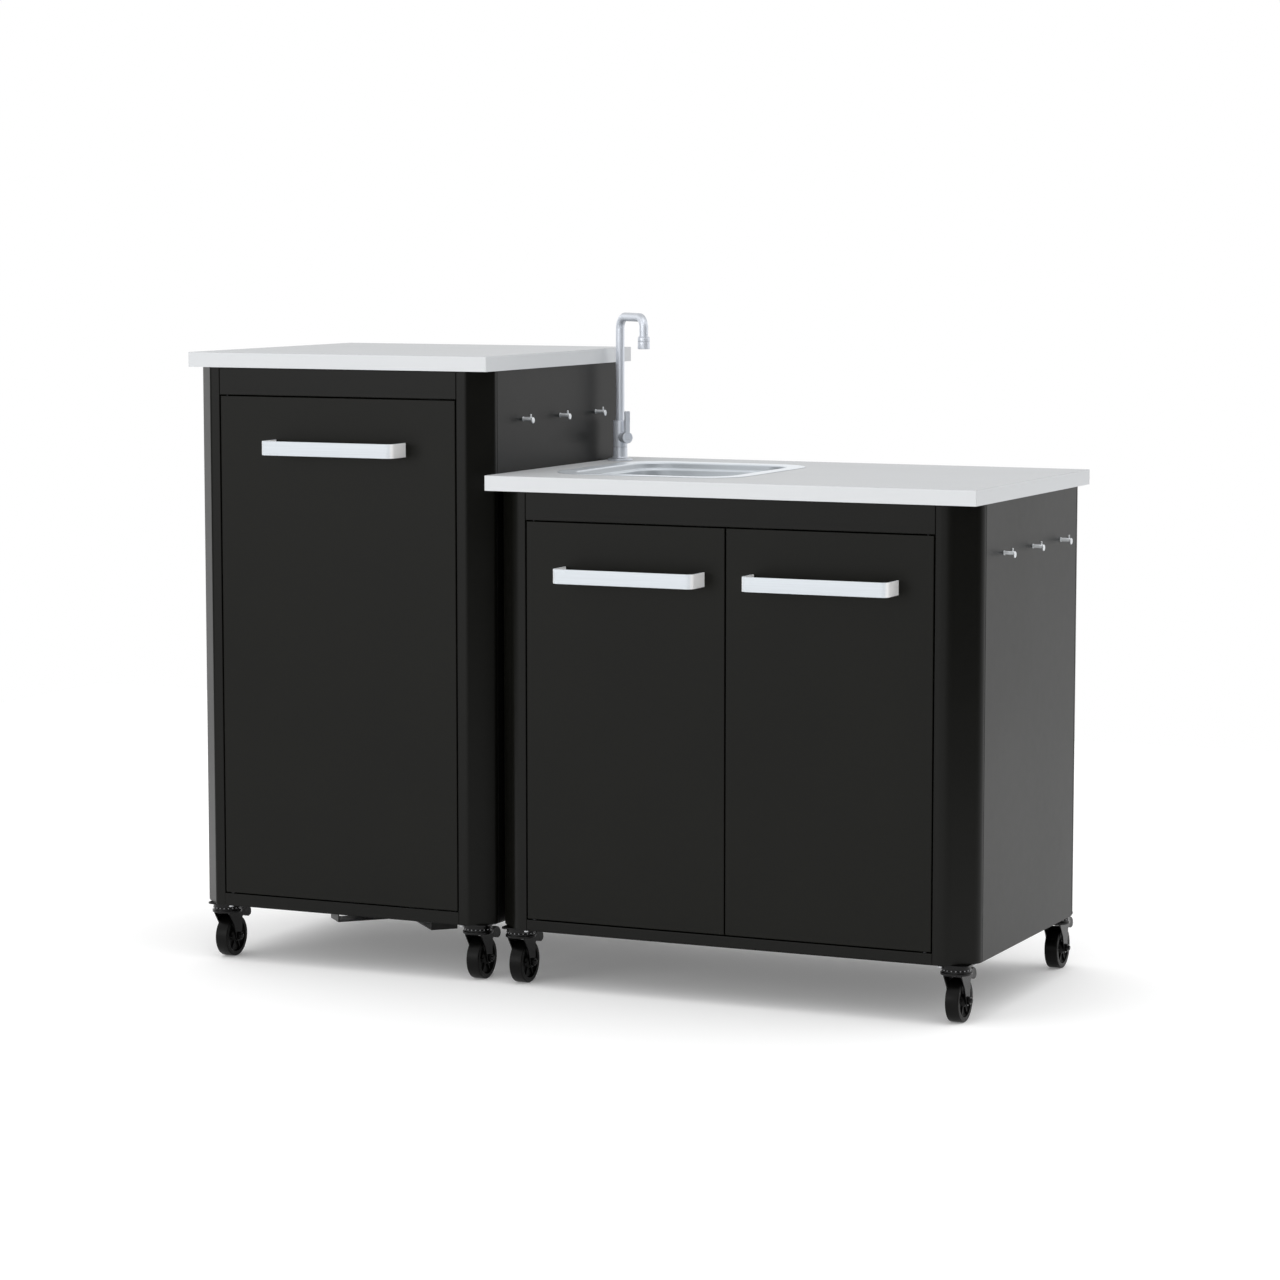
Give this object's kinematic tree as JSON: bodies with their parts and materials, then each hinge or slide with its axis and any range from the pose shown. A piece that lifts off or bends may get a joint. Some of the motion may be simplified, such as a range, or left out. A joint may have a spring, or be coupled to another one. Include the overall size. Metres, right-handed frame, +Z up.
{
  "type": "outdoor kitchen unit",
  "caption": "Outdoor kitchen unit: a tall gas bottle cabinet beside a lower sink cabinet with a tap, doors with bar handles, side hooks and braked castors.",
  "frame": {"origin": "on the floor, centred under the whole unit's bounding box, handles, brake pedals and side hooks included", "axes": "+X to the unit's right for someone facing the doors, +Y from the doors to the back, +Z up"},
  "size_m": [1.5164, 0.676, 1.173],
  "materials": {
    "worktop_steel": "brushed",
    "black_panel": "satin powder coat",
    "black_door": "satin powder coat",
    "handle_steel": "brushed",
    "hook_steel": "bright",
    "sink_steel": "bright rolled",
    "tap_steel": "brushed",
    "tap_brass": "machined",
    "zinc_steel": "zinc plated",
    "catch_plastic": "moulded",
    "cradle_paint": "satin powder coat",
    "waste_plastic": "moulded",
    "caster_paint": "semi-gloss black",
    "wheel_rubber": "moulded",
    "pedal_plastic": "moulded"
  },
  "bodies": {
    "cabinets": {"tall_worktop": "worktop_steel", "low_worktop": "worktop_steel", "tall_corner_posts": "black_panel", "tall_left_side_panel": "black_panel", "tall_right_side_panel": "black_panel", "tall_rear_panel": "black_panel", "tall_floor_panel": "black_panel", "tall_fascia": "black_panel", "tall_bottom_rail": "black_panel", "low_corner_posts": "black_panel", "low_left_side_panel": "black_panel", "low_right_side_panel": "black_panel", "low_rear_panel": "black_panel", "low_floor_panel": "black_panel", "low_fascia": "black_panel", "low_bottom_rail": "black_panel", "door_pivot_pins": "zinc_steel", "caster_screws": "zinc_steel", "door_magnet_catches": "catch_plastic", "utensil_hooks": "hook_steel", "gas_bottle_cradle": "cradle_paint", "sink_bowl": "sink_steel", "sink_waste": "sink_steel", "waste_trap": "waste_plastic", "tap_body": "tap_steel", "tap_fixings": "tap_brass", "caster_plates": "caster_paint"},
    "tall_door": {"tall_door": "black_door", "tall_door_handle": "handle_steel"},
    "low_left_door": {"low_left_door": "black_door", "low_left_door_handle": "handle_steel"},
    "low_right_door": {"low_right_door": "black_door", "low_right_door_handle": "handle_steel"},
    "tap_spout": {"tap_spout": "tap_steel", "tap_aerator": "tap_steel"},
    "tap_lever": {"tap_lever": "tap_steel"},
    "tall_front_left_fork": {"tall_front_left_caster_fork": "caster_paint"},
    "tall_front_left_wheel": {"tall_front_left_caster_wheel": "wheel_rubber"},
    "tall_front_left_pedal": {"tall_front_left_brake_pedal": "pedal_plastic"},
    "tall_front_right_fork": {"tall_front_right_caster_fork": "caster_paint"},
    "tall_front_right_wheel": {"tall_front_right_caster_wheel": "wheel_rubber"},
    "tall_front_right_pedal": {"tall_front_right_brake_pedal": "pedal_plastic"},
    "tall_rear_left_fork": {"tall_rear_left_caster_fork": "caster_paint"},
    "tall_rear_left_wheel": {"tall_rear_left_caster_wheel": "wheel_rubber"},
    "tall_rear_left_pedal": {"tall_rear_left_brake_pedal": "pedal_plastic"},
    "tall_rear_right_fork": {"tall_rear_right_caster_fork": "caster_paint"},
    "tall_rear_right_wheel": {"tall_rear_right_caster_wheel": "wheel_rubber"},
    "tall_rear_right_pedal": {"tall_rear_right_brake_pedal": "pedal_plastic"},
    "low_front_left_fork": {"low_front_left_caster_fork": "caster_paint"},
    "low_front_left_wheel": {"low_front_left_caster_wheel": "wheel_rubber"},
    "low_front_left_pedal": {"low_front_left_brake_pedal": "pedal_plastic"},
    "low_front_right_fork": {"low_front_right_caster_fork": "caster_paint"},
    "low_front_right_wheel": {"low_front_right_caster_wheel": "wheel_rubber"},
    "low_front_right_pedal": {"low_front_right_brake_pedal": "pedal_plastic"},
    "low_rear_left_fork": {"low_rear_left_caster_fork": "caster_paint"},
    "low_rear_left_wheel": {"low_rear_left_caster_wheel": "wheel_rubber"},
    "low_rear_left_pedal": {"low_rear_left_brake_pedal": "pedal_plastic"},
    "low_rear_right_fork": {"low_rear_right_caster_fork": "caster_paint"},
    "low_rear_right_wheel": {"low_rear_right_caster_wheel": "wheel_rubber"},
    "low_rear_right_pedal": {"low_rear_right_brake_pedal": "pedal_plastic"}
  },
  "joints": [
    {"name": "tall_door_hinge", "type": "hinge", "parent": "cabinets", "child": "tall_door", "pos_m": [-0.68275, -0.277, 0.57775], "axis": [0, 0, -1], "range_deg": [0, 110]},
    {"name": "low_left_door_hinge", "type": "hinge", "parent": "cabinets", "child": "low_left_door", "pos_m": [-0.07175, -0.277, 0.4735], "axis": [0, 0, -1], "range_deg": [0, 110]},
    {"name": "low_right_door_hinge", "type": "hinge", "parent": "cabinets", "child": "low_right_door", "pos_m": [0.65525, -0.277, 0.4735], "axis": [0, 0, 1], "range_deg": [0, 110]},
    {"name": "tap_spout_swivel", "type": "hinge", "parent": "cabinets", "child": "tap_spout", "pos_m": [-0.13175, 0.206, 0.967], "axis": [0, 0, 1], "range_deg": [-55, 125]},
    {"name": "tap_lever_turn", "type": "hinge", "parent": "cabinets", "child": "tap_lever", "pos_m": [-0.11154, 0.18964, 0.943], "axis": [-0.7771, 0.6293, 0], "range_deg": [0, 90]},
    {"name": "tall_front_left_swivel", "type": "hinge", "parent": "cabinets", "child": "tall_front_left_fork", "pos_m": [-0.71575, -0.2455, 0.0926], "axis": [0, 0, 1], "continuous": true},
    {"name": "tall_front_left_roll", "type": "hinge", "parent": "tall_front_left_fork", "child": "tall_front_left_wheel", "pos_m": [-0.71575, -0.2315, 0.0375], "axis": [1, 0, 0], "continuous": true},
    {"name": "tall_front_left_brake", "type": "hinge", "parent": "tall_front_left_fork", "child": "tall_front_left_pedal", "pos_m": [-0.71575, -0.2135, 0.082], "axis": [-1, 0, 0], "range_deg": [0, 12]},
    {"name": "tall_front_right_swivel", "type": "hinge", "parent": "cabinets", "child": "tall_front_right_fork", "pos_m": [-0.20075, -0.2455, 0.0926], "axis": [0, 0, 1], "range_deg": [-30, 210]},
    {"name": "tall_front_right_roll", "type": "hinge", "parent": "tall_front_right_fork", "child": "tall_front_right_wheel", "pos_m": [-0.20075, -0.2315, 0.0375], "axis": [1, 0, 0], "continuous": true},
    {"name": "tall_front_right_brake", "type": "hinge", "parent": "tall_front_right_fork", "child": "tall_front_right_pedal", "pos_m": [-0.20075, -0.2135, 0.082], "axis": [-1, 0, 0], "range_deg": [0, 12]},
    {"name": "tall_rear_left_swivel", "type": "hinge", "parent": "cabinets", "child": "tall_rear_left_fork", "pos_m": [-0.71575, 0.274, 0.0926], "axis": [0, 0, 1], "continuous": true},
    {"name": "tall_rear_left_roll", "type": "hinge", "parent": "tall_rear_left_fork", "child": "tall_rear_left_wheel", "pos_m": [-0.71575, 0.288, 0.0375], "axis": [1, 0, 0], "continuous": true},
    {"name": "tall_rear_left_brake", "type": "hinge", "parent": "tall_rear_left_fork", "child": "tall_rear_left_pedal", "pos_m": [-0.71575, 0.306, 0.082], "axis": [-1, 0, 0], "range_deg": [0, 12]},
    {"name": "tall_rear_right_swivel", "type": "hinge", "parent": "cabinets", "child": "tall_rear_right_fork", "pos_m": [-0.20075, 0.274, 0.0926], "axis": [0, 0, 1], "range_deg": [-30, 210]},
    {"name": "tall_rear_right_roll", "type": "hinge", "parent": "tall_rear_right_fork", "child": "tall_rear_right_wheel", "pos_m": [-0.20075, 0.288, 0.0375], "axis": [1, 0, 0], "continuous": true},
    {"name": "tall_rear_right_brake", "type": "hinge", "parent": "tall_rear_right_fork", "child": "tall_rear_right_pedal", "pos_m": [-0.20075, 0.306, 0.082], "axis": [-1, 0, 0], "range_deg": [0, 12]},
    {"name": "low_front_left_swivel", "type": "hinge", "parent": "cabinets", "child": "low_front_left_fork", "pos_m": [-0.11575, -0.2455, 0.0926], "axis": [0, 0, 1], "range_deg": [-210, 30]},
    {"name": "low_front_left_roll", "type": "hinge", "parent": "low_front_left_fork", "child": "low_front_left_wheel", "pos_m": [-0.11575, -0.2315, 0.0375], "axis": [1, 0, 0], "continuous": true},
    {"name": "low_front_left_brake", "type": "hinge", "parent": "low_front_left_fork", "child": "low_front_left_pedal", "pos_m": [-0.11575, -0.2135, 0.082], "axis": [-1, 0, 0], "range_deg": [0, 12]},
    {"name": "low_front_right_swivel", "type": "hinge", "parent": "cabinets", "child": "low_front_right_fork", "pos_m": [0.69925, -0.2455, 0.0926], "axis": [0, 0, 1], "continuous": true},
    {"name": "low_front_right_roll", "type": "hinge", "parent": "low_front_right_fork", "child": "low_front_right_wheel", "pos_m": [0.69925, -0.2315, 0.0375], "axis": [1, 0, 0], "continuous": true},
    {"name": "low_front_right_brake", "type": "hinge", "parent": "low_front_right_fork", "child": "low_front_right_pedal", "pos_m": [0.69925, -0.2135, 0.082], "axis": [-1, 0, 0], "range_deg": [0, 12]},
    {"name": "low_rear_left_swivel", "type": "hinge", "parent": "cabinets", "child": "low_rear_left_fork", "pos_m": [-0.11575, 0.274, 0.0926], "axis": [0, 0, 1], "range_deg": [-210, 30]},
    {"name": "low_rear_left_roll", "type": "hinge", "parent": "low_rear_left_fork", "child": "low_rear_left_wheel", "pos_m": [-0.11575, 0.288, 0.0375], "axis": [1, 0, 0], "continuous": true},
    {"name": "low_rear_left_brake", "type": "hinge", "parent": "low_rear_left_fork", "child": "low_rear_left_pedal", "pos_m": [-0.11575, 0.306, 0.082], "axis": [-1, 0, 0], "range_deg": [0, 12]},
    {"name": "low_rear_right_swivel", "type": "hinge", "parent": "cabinets", "child": "low_rear_right_fork", "pos_m": [0.69925, 0.274, 0.0926], "axis": [0, 0, 1], "continuous": true},
    {"name": "low_rear_right_roll", "type": "hinge", "parent": "low_rear_right_fork", "child": "low_rear_right_wheel", "pos_m": [0.69925, 0.288, 0.0375], "axis": [1, 0, 0], "continuous": true},
    {"name": "low_rear_right_brake", "type": "hinge", "parent": "low_rear_right_fork", "child": "low_rear_right_pedal", "pos_m": [0.69925, 0.306, 0.082], "axis": [-1, 0, 0], "range_deg": [0, 12]}
  ]
}
